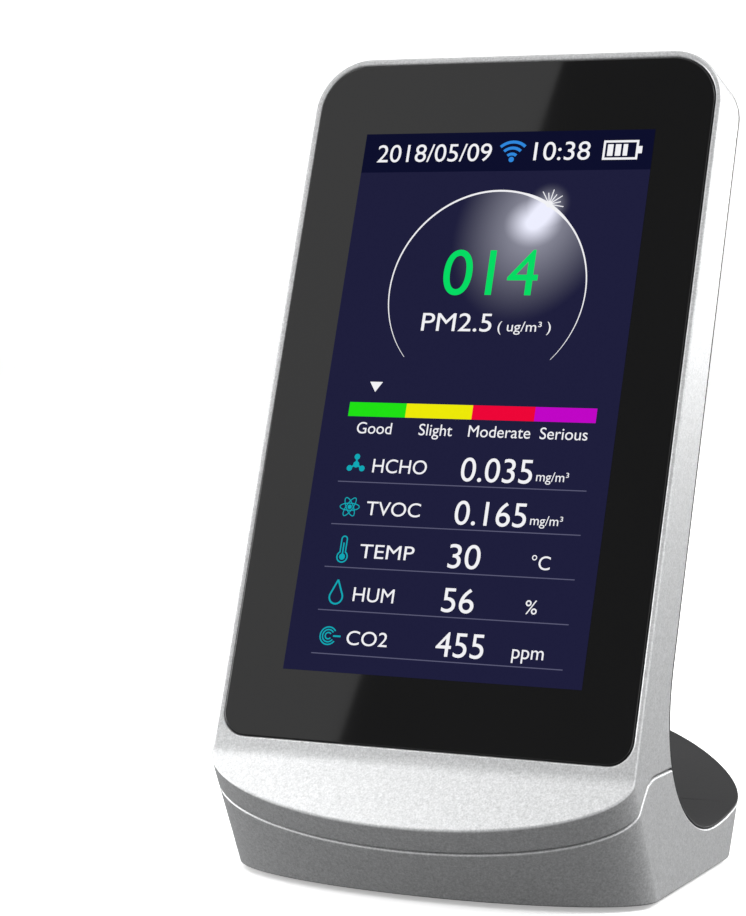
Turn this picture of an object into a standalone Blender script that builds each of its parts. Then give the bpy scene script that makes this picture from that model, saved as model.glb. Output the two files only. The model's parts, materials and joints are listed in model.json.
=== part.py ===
"""Desktop air quality monitor in metres, +Z up, standing on its feet, with the screen towards -Y.

A tilted head with a portrait display grows out of a hollow base with a scooped rear.
Lengths below are in millimetres and are scaled once, where a mesh is made.
Head parts are modelled upright (x across, y back from the glass, z up the glass) and
leaned back together. Body sections are drawn from the middle of the glass's lower edge.
"""

import math

import bmesh
import bpy
from mathutils import Matrix, Vector

MM = 0.001

# Overall form
WIDTH = 75.4
HEAD_LENGTH = 121.97  # up the glass plane, from the glass's lower edge
LEAN = 20.0  # degrees
BASE_DEPTH = 57.4  # rear wall at the sides, at the height of the glass's lower edge
FOOT_PROUD = 0.8
BASE_DROP = 23.6  # lower edge of the shell below the glass's lower edge
GLASS_Y = -32.15
UNDERCUT = 0.525  # the front and rear walls draw in by this much per unit of height
FRONT_BULGE = 13.3
REAR_BULGE = 18.3
FRONT_SIDE_Y = -1.94
HEAD_CORNER = 9.6
HEAD_THICK_TOP = 10.0
CHIN_RADIUS = 6.0
CHIN_SLOPE = 44.2
SCOOP_Z = -16.6
SCOOP_Y = 38.5
SCOOP_RISE = 0.0098

# Walls and clearances
WALL = 1.8
COVER = 1.5
LIP = 0.45
GAP = 0.3
PARTING_GAP = 0.3
PLATE = 1.8
PLATE_LIFT = 0.5

# Display stack, measured back from the glass's face
BEZEL = 1.2
GLASS_WIDTH, GLASS_HEIGHT, GLASS_THICK = WIDTH - 2 * BEZEL, HEAD_LENGTH - 1.3, 1.1
GLASS_TOP_R, GLASS_LOW_R = 8.3, 4.2
GLASS_FIT = 0.1
TAPE_THICK = 0.25
LEDGE_BACK = 2.6
LEDGE = 2.5
OPENING_WIDTH, OPENING_LOW, OPENING_HIGH = GLASS_WIDTH - 2 * LEDGE, 6.0, HEAD_LENGTH - 9.17
LCD_LOW = OPENING_LOW + 0.6
LCD_WIDTH, LCD_HEIGHT = OPENING_WIDTH - 0.8, OPENING_HIGH - 0.7 - LCD_LOW
LCD_FRONT, LCD_THICK = 1.3, 1.5
TRAY_FRONT, TRAY_THICK = 3.0, 1.6

# Head electronics
BOARD_FRONT, BOARD_THICK = 5.5, 1.0
BOARD_WIDTH, BOARD_LOW, BOARD_HIGH = LCD_WIDTH - 5.2, HEAD_LENGTH - 50.0, HEAD_LENGTH - 9.5
LUG_X, LUG_UP = WIDTH / 2 - 6.7, HEAD_LENGTH - 6.0
BATTERY_WIDTH, BATTERY_LOW, BATTERY_HIGH = 55.0, 20.0, 66.0
BATTERY_FRONT, BATTERY_THICK = 5.0, 3.8
CABLE_LOW, CABLE_HIGH = BATTERY_HIGH - 6.0, BOARD_LOW + 8.03  # from the battery up to its plug on the board
POST_R, POST_UP = 2.2, (BOARD_LOW + 5.0, BOARD_HIGH - 4.0)
POST_X = BOARD_WIDTH / 2 - 4.0
BOARD_SCREW_R, BOARD_SCREW_HEAD_R = 0.8, 1.6
COVER_SCREW_R, COVER_SCREW_HEAD_R = 0.6, 1.85
SLOT_HALF = 0.25  # half the width of a screw's driver slot

# Keys through the back
KEY_R, KEY_BORE_FIT = 3.2, 0.25
KEY_FLANGE_R, KEY_FLANGE_THICK = 4.2, 0.7
KEY_TRAVEL = 0.5
KEY_UP = BOARD_HIGH - 12.5
KEY_PITCH = 12.0
KEY_PROUD = 0.6
COVER_BACK = 10.8  # the cover's outer face at the keys, back from the glass
SWITCH_HALF = (1.8, 1.5)

# Slits for air
VENT_ROWS, VENT_LOW, VENT_PITCH, VENT_HALF, VENT_SLIT = 5, 40, 4, 16, 1.6
TAIL_VENT_ROWS, TAIL_VENT_Y, TAIL_VENT_PITCH, TAIL_VENT_HALF, TAIL_VENT_SLIT = 3, 47, 3.4, 12, 1.4
PLATE_VENT_ROWS, PLATE_VENT_PITCH, PLATE_VENT_SLIT = 4, 4, 1.8

# Base contents
CASE_LEFT, CASE_FRONT = 6.9 - (WIDTH / 2 - WALL), WALL + 2.4  # set by the walls it stands beside
CASE_X, CASE_Y, CASE_Z = (CASE_LEFT, CASE_LEFT + 36.0), (CASE_FRONT, CASE_FRONT + 9.0), (-21.4, 0.0)
CASE_WALL, LID_FIT = 0.8, 0.15
FAN_R, FAN_THICK = 8.0, 4.0
FAN_X, FAN_Z = CASE_LEFT + 10.0, -11.0
FAN_SHAFT_R = 1.0
FAN_FIT = 0.2
FAN_BLADES, BLADE_REACH, BLADE_TILT = 9, 5.2, 0.5
SENSOR_BOARD_Z, SENSOR_BOARD_THICK = -21.3, 1.0
SOCKET_HALF, SOCKET_HALF_HEIGHT, SOCKET_R = 2.9, 1.6, 1.55
SOCKET_LIFT = 1.75  # the socket's middle above its board
BOSS_R, BOSS_BORE = 3.2, 1.1
BOSS_X = WIDTH / 2 - WALL - 2.6
FRONT_BOSS = (BOSS_X, 24.0)
REAR_BOSS = (BOSS_X, 44.0)
SCREW_R, SCREW_HEAD_R = 0.95, 1.9
FOOT_R, FOOT_THICK = 4.0, 1.5
FOOT_SPOTS = ((22.0, 9.5), (22.0, 50.0))

CUTTERS = "cutters"
NAME = "air_quality_monitor"

for old in list(bpy.data.objects):
    bpy.data.objects.remove(old, do_unlink=True)
for old in list(bpy.data.collections):
    bpy.data.collections.remove(old)
monitor = bpy.data.collections.new(NAME)
cutters = bpy.data.collections.new(CUTTERS)
bpy.context.scene.collection.children.link(monitor)
bpy.context.scene.collection.children.link(cutters)

GLASS_Z = FOOT_PROUD + BASE_DROP
BODY = Matrix.Translation(Vector((0, GLASS_Y, GLASS_Z)) * MM)
HEAD = BODY @ Matrix.Rotation(math.radians(-LEAN), 4, "X")
FLOOR = -BASE_DROP - FOOT_PROUD  # the table, in body height
PLATE_TOP = FLOOR + PLATE_LIFT + PLATE

PAINTS = {
    "silver_paint": ((0.47, 0.48, 0.49), 0.55, 0.42),
    "dark_shell": ((0.035, 0.035, 0.037), 0.0, 0.62),
    "cover_glass": ((0.012, 0.012, 0.013), 0.0, 0.06),
    "black_foam": ((0.02, 0.02, 0.02), 0.0, 0.9),
    "display": ((0.015, 0.016, 0.06), 0.0, 0.2),
    "tray_steel": ((0.55, 0.56, 0.57), 1.0, 0.35),
    "green_board": ((0.02, 0.16, 0.07), 0.0, 0.45),
    "amber_film": ((0.55, 0.25, 0.05), 0.0, 0.4),
    "foil_pouch": ((0.62, 0.63, 0.65), 0.9, 0.38),
    "screw_steel": ((0.5, 0.5, 0.52), 1.0, 0.3),
    "foot_rubber": ((0.02, 0.02, 0.02), 0.0, 0.85),
    "black_plastic": ((0.03, 0.03, 0.033), 0.0, 0.5),
    "white_plastic": ((0.75, 0.75, 0.73), 0.0, 0.45),
    "brass_barrel": ((0.7, 0.5, 0.2), 1.0, 0.3),
}
materials = {}
for slot, (colour, metallic, roughness) in PAINTS.items():
    paint = bpy.data.materials.new(slot)
    paint.use_nodes = True
    shader = paint.node_tree.nodes["Principled BSDF"]
    shader.inputs["Base Color"].default_value = (*colour, 1.0)
    shader.inputs["Metallic"].default_value = metallic
    shader.inputs["Roughness"].default_value = roughness
    paint.diffuse_color = (*colour, 1.0)
    materials[slot] = paint


def place(name, bm, frame, slot, pivot=(0, 0, 0)):
    """Make an object of a millimetre mesh, with its origin at the pivot; no slot makes a cutter."""
    bmesh.ops.recalc_face_normals(bm, faces=bm.faces)
    bm.transform(Matrix.Translation(-Vector(pivot)))
    bm.transform(Matrix.Scale(MM, 4))
    mesh = bpy.data.meshes.new(name)
    bm.to_mesh(mesh)
    bm.free()
    obj = bpy.data.objects.new(name, mesh)
    obj.matrix_world = frame @ Matrix.Translation(Vector(pivot) * MM)
    if slot:
        mesh.materials.append(materials[slot])
        monitor.objects.link(obj)
    else:
        obj.hide_render = True
        obj.display_type = "WIRE"
        cutters.objects.link(obj)
    return obj


def sweep(name, outline, along, frame=BODY, slot=None):
    """Closed solid of a flat outline moved along a vector."""
    bm = bmesh.new()
    face = bm.faces.new([bm.verts.new(point) for point in outline])
    raised = bmesh.ops.extrude_face_region(bm, geom=[face])["geom"]
    moved = [item for item in raised if isinstance(item, bmesh.types.BMVert)]
    bmesh.ops.translate(bm, vec=Vector(along), verts=moved)
    return place(name, bm, frame, slot)


def box(name, x, y, z, frame=BODY, slot=None, pivot=(0, 0, 0)):
    """Box between the pairs of limits x, y and z."""
    bm = bmesh.new()
    size = Vector((x[1] - x[0], y[1] - y[0], z[1] - z[0]))
    middle = Vector((x[0] + x[1], y[0] + y[1], z[0] + z[1])) / 2
    bmesh.ops.create_cube(bm, size=1, matrix=Matrix.Translation(middle) @ Matrix.Diagonal((*size, 1)))
    return place(name, bm, frame, slot, pivot)


def rod(name, radius, start, end, frame=BODY, slot=None, sides=32, pivot=(0, 0, 0)):
    """Cylinder from one point to another."""
    start, end = Vector(start), Vector(end)
    turn = (end - start).to_track_quat("Z", "Y").to_matrix().to_4x4()
    spot = Matrix.Translation((start + end) / 2) @ turn
    bm = bmesh.new()
    length = (end - start).length
    bmesh.ops.create_cone(
        bm, cap_ends=True, segments=sides, radius1=radius, radius2=radius, depth=length, matrix=spot
    )
    obj = place(name, bm, frame, slot, pivot)
    for polygon in obj.data.polygons:
        polygon.use_smooth = len(polygon.vertices) == 4
    return obj


def combine(obj, tool, operation):
    """Add an exact Boolean; the tool object stays live in the cutters collection."""
    step = obj.modifiers.new(f"{operation.lower()}_{tool.name}", "BOOLEAN")
    step.operation = operation
    step.solver = "EXACT"
    step.object = tool
    return obj


def cut(obj, *tools):
    for tool in tools:
        combine(obj, tool, "DIFFERENCE")
    return obj


def join(obj, *tools):
    for tool in tools:
        combine(obj, tool, "UNION")
    return obj


def keep(obj, *tools):
    for tool in tools:
        combine(obj, tool, "INTERSECT")
    return obj


def bevel(obj, width, segments=2):
    step = obj.modifiers.new("bevel", "BEVEL")
    step.width = width * MM
    step.segments = segments
    step.limit_method = "ANGLE"
    step.angle_limit = math.radians(50)
    return obj


def face_point(up, back):
    """Body section point (y, z) of a head position: up the glass and back from it."""
    lean = math.radians(LEAN)
    return Vector((
        up * math.sin(lean) + back * math.cos(lean),
        up * math.cos(lean) - back * math.sin(lean),
    ))


def shifted(points, distance):
    """Open section line moved to the left of its own direction."""
    moved = []
    for i, point in enumerate(points):
        ahead = points[min(i + 1, len(points) - 1)] - points[max(i - 1, 0)]
        moved.append(point + Vector((-ahead.y, ahead.x)).normalized() * distance)
    return moved


def rear_line(outward=0.0):
    """Section of the back, from above the head's top down and out past the tail."""
    neck_top = Vector((17.1, 14.2))
    handles = (neck_top, Vector((10.3, -4.6)), Vector((24.5, SCOOP_Z)), Vector((SCOOP_Y, SCOOP_Z)))
    points = [face_point(HEAD_LENGTH + 8, HEAD_THICK_TOP - 0.1), face_point(70, 10.61)]
    for i in range(13):
        t = i / 12
        weights = ((1 - t) ** 3, 3 * t * (1 - t) ** 2, 3 * t * t * (1 - t), t ** 3)
        points.append(sum((w * h for w, h in zip(weights, handles)), Vector((0, 0))))
    for i in range(1, 13):
        y = SCOOP_Y + 5.5 * i
        points.append(Vector((y, SCOOP_Z + SCOOP_RISE * (y - SCOOP_Y) ** 2)))
    return shifted(points, outward)


def front_line(inward=0.0, back=0.0):
    """Section of the front, from above the head's top down the face and out along the chin."""
    start, turn = math.radians(LEAN), math.radians(CHIN_SLOPE)
    top = face_point(-1.3, 0)
    centre = top + CHIN_RADIUS * Vector((-math.cos(start), math.sin(start)))
    radius = CHIN_RADIUS + inward
    arc = []
    for i in range(5):
        angle = start + (turn - start) * i / 4
        arc.append(centre + radius * Vector((math.cos(angle), -math.sin(angle))))
    end = arc[-1] + 22 * Vector((-math.sin(turn), -math.cos(turn)))
    if back:
        low = face_point(-1.3 - inward, back)
        arc = [low] + [point for point in arc if point.y < low.y - 0.6]
    return [face_point(HEAD_LENGTH + 8, back)] + arc + [end]


def section(name, front, rear, low, width, slot=None):
    """Solid between a front and a rear section line, down to a level, across the width."""
    points = front + [Vector((front[-1].x, low)), Vector((rear[-1].x, low))] + rear[::-1]
    outline = [(-width / 2, point.x, point.y) for point in points]
    return sweep(name, outline, (width, 0, 0), slot=slot)


def plan(name, end, inset):
    """Sheared prism with a rounded front or rear wall, to trim the body in plan."""
    half = WIDTH / 2 - inset
    low, high = -40.0, 140.0
    shift = inset * math.hypot(1, UNDERCUT)
    outline = []
    for i in range(33):
        angle = math.pi * (i / 32 - 0.5)
        across, round_off = half * math.sin(angle), math.cos(angle)
        if end == "front":
            y = FRONT_SIDE_Y - FRONT_BULGE * round_off + shift - UNDERCUT * low
        else:
            y = BASE_DEPTH + REAR_BULGE * round_off - shift + UNDERCUT * low
        outline.append((across, y, low))
    far = 260.0 if end == "front" else -260.0
    outline += [(half, far, low), (-half, far, low)]
    slope = -UNDERCUT if end == "front" else UNDERCUT
    return sweep(name, outline, (0, slope * (high - low), high - low))


def rounded(half, low, high, top_r, low_r, steps=8):
    """Upright rounded rectangle as (x, z) pairs, anticlockwise from the lower right corner."""
    right = ((half, low, low_r, -90), (half, high, top_r, 0))
    left = ((-half, high, top_r, 90), (-half, low, low_r, 180))
    outline = []
    for x, z, radius, start in right + left:
        centre_x = x - math.copysign(radius, x)
        centre_z = z - radius if z == high else z + radius
        for i in range(steps + 1 if radius > 0.05 else 1):
            angle = math.radians(start + 90 * i / steps)
            outline.append((centre_x + radius * math.cos(angle), centre_z + radius * math.sin(angle)))
    return outline


def slab(name, outline, front, back, slot=None):
    """Head part of an (x, z) outline between two depths."""
    points = [(x, front, z) for x, z in outline]
    return sweep(name, points, (0, back - front, 0), HEAD, slot)


def head_outline(name, inset):
    half = WIDTH / 2 - inset
    return slab(name, rounded(half, -90, HEAD_LENGTH - inset, HEAD_CORNER - inset, 0.01), -70, 190)


def parting(name, side):
    """Everything above (+1) or below (-1) the line where the front frame meets the base."""
    chin_run = ((-30, -35.55), (-7.3, -15.5), (1.4, -7.8))
    side_run = ((3.9, -5.1), (5.4, -3.75), (7.0, -3.1), (9, -2.9), (30, -3.15))
    line = shifted([Vector(point) for point in chin_run + side_run], side * PARTING_GAP / 2)
    edge = 160 if side > 0 else -60
    outline = [(-60, p.x, p.y) for p in line] + [(-60, 110, line[-1].y), (-60, 110, edge), (-60, -90, edge)]
    outline.append((-60, -90, line[0].y))
    return sweep(name, outline, (120, 0, 0))


def band(name, near, far, width, slot=None):
    """Sheet that follows the rear section between two offsets."""
    points = rear_line(near) + rear_line(far)[::-1]
    return sweep(name, [(-width / 2, p.x, p.y) for p in points], (width, 0, 0), slot=slot)


# Shared trimming solids
plan_front, plan_rear = plan("plan_front", "front", 0), plan("plan_rear", "rear", 0)
inner_front, inner_rear = plan("inner_front", "front", WALL), plan("inner_rear", "rear", WALL)
fit_front, fit_rear = plan("fit_front", "front", WALL + GAP), plan("fit_rear", "rear", WALL + GAP)
outer_outline, inner_outline = head_outline("outer_outline", 0), head_outline("inner_outline", WALL)
fit_outline = head_outline("fit_outline", WALL + GAP)
hollow = section("hollow", front_line(WALL, LEDGE_BACK), rear_line(8), -40, WIDTH + 4)
keep(hollow, inner_front, inner_rear, inner_outline)
above, below = parting("above_parting", 1), parting("below_parting", -1)

# Front frame: bezel, sides of the head and the chin
front_frame = section("front_frame", front_line(), rear_line(), -BASE_DROP, WIDTH, "silver_paint")
keep(front_frame, outer_outline, plan_front, plan_rear)
cut(front_frame, hollow)
keep(front_frame, above)
glass_half, glass_high = GLASS_WIDTH / 2, GLASS_HEIGHT
seat = rounded(glass_half + GLASS_FIT, -GLASS_FIT, glass_high + GLASS_FIT, GLASS_TOP_R, GLASS_LOW_R)
window = rounded(OPENING_WIDTH / 2, OPENING_LOW, OPENING_HIGH, 1.5, 1.5, 4)
cut(front_frame, slab("glass_seat", seat, -5, GLASS_THICK + TAPE_THICK + 0.1))
cut(front_frame, slab("display_window", window, -5, 20))
for side in (-1, 1):
    x = side * LUG_X
    lug = rod(f"lug_{side:+d}", 2.8, (x, LEDGE_BACK - 0.3, LUG_UP), (x, 8.0, LUG_UP), HEAD)
    join(front_frame, lug)
    cut(front_frame, rod(f"lug_bore_{side:+d}", 0.75, (x, 3.6, LUG_UP), (x, 9.0, LUG_UP), HEAD, sides=16))

# Base housing: the lower walls, with a socket opening in the rear
base_housing = section("base_housing", front_line(), rear_line(), -BASE_DROP, WIDTH, "silver_paint")
keep(base_housing, outer_outline, plan_front, plan_rear)
cut(base_housing, hollow)
keep(base_housing, below)
board_top = SENSOR_BOARD_Z + SENSOR_BOARD_THICK
socket_z = board_top + SOCKET_LIFT
cut(base_housing, box("socket_opening", (-4.9, 4.9), (60, 80), (socket_z - 2.0, socket_z + 2.0)))
boss_spots = []
for end, (x, y) in (("front", FRONT_BOSS), ("rear", REAR_BOSS)):
    for side in (-1, 1):
        boss_spots.append((f"{end}_{'right' if side > 0 else 'left'}", side * x, y))
for name, x, y in boss_spots:
    top = -16.8 if name.startswith("front") else -18.3
    join(base_housing, rod(f"boss_{name}", BOSS_R, (x, y, PLATE_TOP + GAP), (x, y, top)))
for name, x, y in boss_spots:
    top = -17.6 if name.startswith("front") else -19.0
    cut(base_housing, rod(f"boss_bore_{name}", BOSS_BORE, (x, y, PLATE_TOP - 2), (x, y, top), sides=16))

# Back cover: head back, neck and tail in one piece, with a lip over the silver edges
back_cover = band("back_cover", 0.08, LIP, WIDTH - 0.1, "dark_shell")
keep(back_cover, outer_outline, plan_front, plan_rear)
inner_sheet = band("inner_sheet", -COVER, 0.2, WIDTH)
keep(inner_sheet, fit_outline, fit_front, fit_rear)
join(back_cover, inner_sheet)
for side in (-1, 1):
    x = side * LUG_X
    cut(back_cover, rod(f"cover_hole_{side:+d}", 1.15, (x, 5, LUG_UP), (x, 14, LUG_UP), HEAD, sides=16))
    cut(back_cover, rod(f"cover_sink_{side:+d}", 2.15, (x, 9.5, LUG_UP), (x, 14, LUG_UP), HEAD, sides=20))
board_back = BOARD_FRONT + BOARD_THICK
for side in (-1, 1):
    for level, up in zip(("low", "high"), POST_UP):
        spot = f"{'right' if side > 0 else 'left'}_{level}"
        x = side * POST_X
        join(back_cover, rod(f"post_{spot}", POST_R, (x, board_back + 0.1, up), (x, 9.4, up), HEAD))
        bore = rod(f"post_bore_{spot}", 1.0, (x, 4, up), (x, 8.5, up), HEAD, sides=16)
        cut(back_cover, bore)
keys = (("menu", -1), ("power", 0), ("set", 1))
for name, step in keys:
    x = step * KEY_PITCH
    hole = rod(f"{name}_hole", KEY_R + KEY_BORE_FIT, (x, 5, KEY_UP), (x, 14, KEY_UP), HEAD)
    cut(back_cover, hole)
for row in range(VENT_ROWS):
    up = VENT_LOW + row * VENT_PITCH
    vent = box(f"vent_{row}", (-VENT_HALF, VENT_HALF), (5, 16), (up, up + VENT_SLIT), HEAD)
    cut(back_cover, vent)
for row in range(TAIL_VENT_ROWS):
    y = TAIL_VENT_Y + row * TAIL_VENT_PITCH
    vent_x = (-TAIL_VENT_HALF, TAIL_VENT_HALF)
    cut(back_cover, box(f"tail_vent_{row}", vent_x, (y, y + TAIL_VENT_SLIT), (-22, -8)))

# Floor plate
bottom_plate = section("bottom_plate", front_line(), rear_line(), FLOOR + PLATE_LIFT, WIDTH, "dark_shell")
plate_slab = box("plate_slab", (-90, 90), (-60, 120), (FLOOR - 1, PLATE_TOP))
keep(bottom_plate, plate_slab, fit_front, fit_rear, fit_outline)
for name, x, y in boss_spots:
    cut(bottom_plate, rod(f"plate_hole_{name}", 1.2, (x, y, FLOOR), (x, y, PLATE_TOP + 1), sides=16))
    sink_top = FLOOR + PLATE_LIFT + 1.0
    sink = rod(f"plate_sink_{name}", SCREW_HEAD_R + GAP, (x, y, FLOOR), (x, y, sink_top), sides=20)
    cut(bottom_plate, sink)
    low = FLOOR + PLATE_LIFT + 0.1
    head = rod(f"plate_screw_{name}", SCREW_HEAD_R, (x, y, low), (x, y, low + 0.8), BODY, "screw_steel", 20)
    join(head, rod(f"plate_shank_{name}", SCREW_R, (x, y, low + 0.5), (x, y, low + 4.2), sides=16))
    slot_y = (y - SLOT_HALF, y + SLOT_HALF)
    cut(head, box(f"plate_slot_{name}", (x - 1.2, x + 1.2), slot_y, (low - 1, low + 0.35)))
for end, (x, y) in zip(("front", "rear"), FOOT_SPOTS):
    for side in (-1, 1):
        label = f"foot_{end}_{'right' if side > 0 else 'left'}"
        top = FLOOR + FOOT_THICK
        recess = rod(f"{label}_recess", FOOT_R + 0.2, (side * x, y, FLOOR - 1), (side * x, y, top + 0.1))
        cut(bottom_plate, recess)
        rod(label, FOOT_R, (side * x, y, FLOOR), (side * x, y, top), slot="foot_rubber")
for row in range(PLATE_VENT_ROWS):
    x = FAN_X - 5 + row * PLATE_VENT_PITCH
    cut(bottom_plate, box(f"plate_vent_{row}", (x, x + PLATE_VENT_SLIT), (14, 30), (FLOOR, PLATE_TOP + 1)))

# Display
glass = rounded(glass_half, 0, glass_high, GLASS_TOP_R, GLASS_LOW_R)
slab("front_glass", glass, 0, GLASS_THICK, "cover_glass")
tape_edge = rounded(glass_half - 0.5, 0.5, glass_high - 0.5, GLASS_TOP_R - 0.5, GLASS_LOW_R - 0.5)
tape = slab("glass_tape", tape_edge, GLASS_THICK + 0.04, GLASS_THICK + TAPE_THICK, "black_foam")
tape_window = rounded(OPENING_WIDTH / 2 + 0.3, OPENING_LOW - 0.3, OPENING_HIGH + 0.3, 1.5, 1.5, 4)
cut(tape, slab("tape_window", tape_window, -1, 5))
lcd_x = (-LCD_WIDTH / 2, LCD_WIDTH / 2)
lcd_z = (LCD_LOW, LCD_LOW + LCD_HEIGHT)
box("lcd_panel", lcd_x, (LCD_FRONT, LCD_FRONT + LCD_THICK), lcd_z, HEAD, "display")
tray = box("backlight_tray", lcd_x, (TRAY_FRONT, TRAY_FRONT + TRAY_THICK), lcd_z, HEAD, "tray_steel")
bevel(tray, 0.4, 2)

# Head electronics
board_x = (-BOARD_WIDTH / 2, BOARD_WIDTH / 2)
board_z = (BOARD_LOW, BOARD_HIGH)
main_board = box("main_board", board_x, (BOARD_FRONT, board_back), board_z, HEAD, "green_board")
for side in (-1, 1):
    for level, up in zip(("low", "high"), POST_UP):
        label = f"{'right' if side > 0 else 'left'}_{level}"
        x = side * POST_X
        cut(main_board, rod(f"board_hole_{label}", 1.1, (x, 4, up), (x, 9, up), HEAD, sides=16))
        front = BOARD_FRONT - 0.05
        ends = (x, front - 0.6, up), (x, front, up)
        screw = rod(f"board_screw_{label}", BOARD_SCREW_HEAD_R, *ends, HEAD, "screw_steel", 20)
        ends = (x, front - 0.3, up), (x, 8.2, up)
        join(screw, rod(f"board_shank_{label}", BOARD_SCREW_R, *ends, HEAD, sides=16))
        slot_z = (up - 0.2, up + 0.2)
        cut(screw, box(f"board_slot_{label}", (x - 1, x + 1), (front - 1, front - 0.35), slot_z, HEAD))
for side in (-1, 1):
    x = side * LUG_X
    label = "right" if side > 0 else "left"
    ends = (x, 9.55, LUG_UP), (x, 10.25, LUG_UP)
    screw = rod(f"cover_screw_{label}", COVER_SCREW_HEAD_R, *ends, HEAD, "screw_steel", 20)
    ends = (x, 4.2, LUG_UP), (x, 9.8, LUG_UP)
    join(screw, rod(f"cover_shank_{label}", COVER_SCREW_R, *ends, HEAD, sides=16))
    slot_z = (LUG_UP - SLOT_HALF, LUG_UP + SLOT_HALF)
    cut(screw, box(f"cover_slot_{label}", (x - 1.2, x + 1.2), (9.95, 12), slot_z, HEAD))
mounted = board_back + 0.05  # the face that parts on the board stand on, with a small gap
wifi_z = (BOARD_LOW + 6, BOARD_LOW + 22)
wifi = box("wifi_module", (-21, -5), (mounted, board_back + 1.6), wifi_z, HEAD, "tray_steel")
bevel(wifi, 0.3, 2)
buzzer_up = BOARD_LOW + 12
rod("buzzer", 4.5, (14, mounted, buzzer_up), (14, board_back + 1.75, buzzer_up), HEAD, "black_plastic")
cable_y = (TRAY_FRONT + TRAY_THICK + 0.1, BATTERY_FRONT - 0.05)
box("display_cable", (-9, 9), cable_y, (CABLE_LOW, CABLE_HIGH), HEAD, "amber_film")
battery_x = (-BATTERY_WIDTH / 2, BATTERY_WIDTH / 2)
battery_y = (BATTERY_FRONT, BATTERY_FRONT + BATTERY_THICK)
battery = box("battery", battery_x, battery_y, (BATTERY_LOW, BATTERY_HIGH), HEAD, "foil_pouch")
bevel(battery, 1.2, 3)
relief_z = (CABLE_LOW - 1, BATTERY_HIGH + 4)
cut(battery, box("cable_relief", (-10, 10), (4, BATTERY_FRONT + 0.05), relief_z, HEAD))
switch_top = board_back + 0.65
for name, step in keys:
    x = step * KEY_PITCH
    half, tall = SWITCH_HALF
    switch_z = (KEY_UP - tall, KEY_UP + tall)
    box(f"{name}_switch", (x - half, x + half), (mounted, switch_top), switch_z, HEAD, "tray_steel")
    low = switch_top + KEY_TRAVEL + 0.05
    pivot, tip = (x, low, KEY_UP), (x, COVER_BACK + KEY_PROUD, KEY_UP)
    key = rod(f"{name}_button", KEY_R, pivot, tip, HEAD, "black_plastic", 40, pivot)
    flange_back = low + KEY_FLANGE_THICK
    join(key, rod(f"{name}_flange", KEY_FLANGE_R, pivot, (x, flange_back, KEY_UP), HEAD))
    pocket_ends = (x, 4, KEY_UP), (x, flange_back + GAP, KEY_UP)
    cut(back_cover, rod(f"{name}_pocket", KEY_FLANGE_R + GAP, *pocket_ends, HEAD))

# Particle sensor: case, lid, fan, laser
case = box("particle_case", CASE_X, CASE_Y, CASE_Z, BODY, "tray_steel")
inner_x = (CASE_X[0] + CASE_WALL, CASE_X[1] - CASE_WALL)
inner_z = (CASE_Z[0] + CASE_WALL, CASE_Z[1] - CASE_WALL)
cut(case, box("case_hollow", inner_x, (CASE_Y[0] + CASE_WALL, CASE_Y[1] + 1), inner_z))
fan_back = CASE_Y[0] + CASE_WALL
post_ends = (FAN_X, fan_back - 0.3, FAN_Z), (FAN_X, fan_back + 4.2, FAN_Z)
join(case, rod("fan_post", FAN_SHAFT_R, *post_ends, sides=24))
outlet_y = (CASE_FRONT + 1.4, CASE_FRONT + 5.8)
cut(case, box("case_outlet", (inner_x[0] + 1, inner_x[0] + 13), outlet_y, (CASE_Z[0] - 1, CASE_Z[0] + 2)))
lid_y = (CASE_Y[1] - CASE_WALL, CASE_Y[1])
lid_x = (inner_x[0] + LID_FIT, inner_x[1] - LID_FIT)
lid_z = (inner_z[0] + LID_FIT, inner_z[1] - LID_FIT)
lid = box("particle_lid", lid_x, lid_y, lid_z, BODY, "tray_steel")
cut(lid, rod("lid_inlet", 4.5, (FAN_X, lid_y[0] - 2, FAN_Z), (FAN_X, lid_y[1] + 2, FAN_Z), sides=24))
hub_y = (fan_back + 0.3, fan_back + 0.3 + FAN_THICK)
fan_pivot = (FAN_X, hub_y[0], FAN_Z)
fan_end = (FAN_X, hub_y[1], FAN_Z)
fan = rod("fan_rotor", 2.8, fan_pivot, fan_end, BODY, "black_plastic", 24, fan_pivot)
join(fan, rod("fan_disc", FAN_R, (FAN_X, hub_y[0], FAN_Z), (FAN_X, hub_y[0] + 0.8, FAN_Z), sides=32))
for blade in range(FAN_BLADES):
    angle = 2 * math.pi * blade / FAN_BLADES
    bm = bmesh.new()
    reach = Matrix.Translation(Vector((BLADE_REACH, FAN_THICK / 2, 0)))
    spin = Matrix.Rotation(angle, 4, "Y")
    tilt = Matrix.Rotation(BLADE_TILT, 4, "Y")
    size = Matrix.Diagonal((5.0, FAN_THICK - 0.3, 0.5, 1))
    bmesh.ops.create_cube(bm, size=1, matrix=spin @ reach @ tilt @ size)
    bm.transform(Matrix.Translation(Vector(fan_pivot)))
    join(fan, place(f"blade_{blade}", bm, BODY, None, fan_pivot))
bore_ends = (FAN_X, fan_back - 1, FAN_Z), (FAN_X, hub_y[1] + 2, FAN_Z)
cut(fan, rod("fan_bore", FAN_SHAFT_R + FAN_FIT, *bore_ends, sides=24))
laser_y = fan_back + 3.4
laser_x = CASE_X[1] - 10.5
rod("laser_module", 2.4, (laser_x, laser_y, -12), (laser_x, laser_y, -4), BODY, "brass_barrel", 24)

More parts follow.
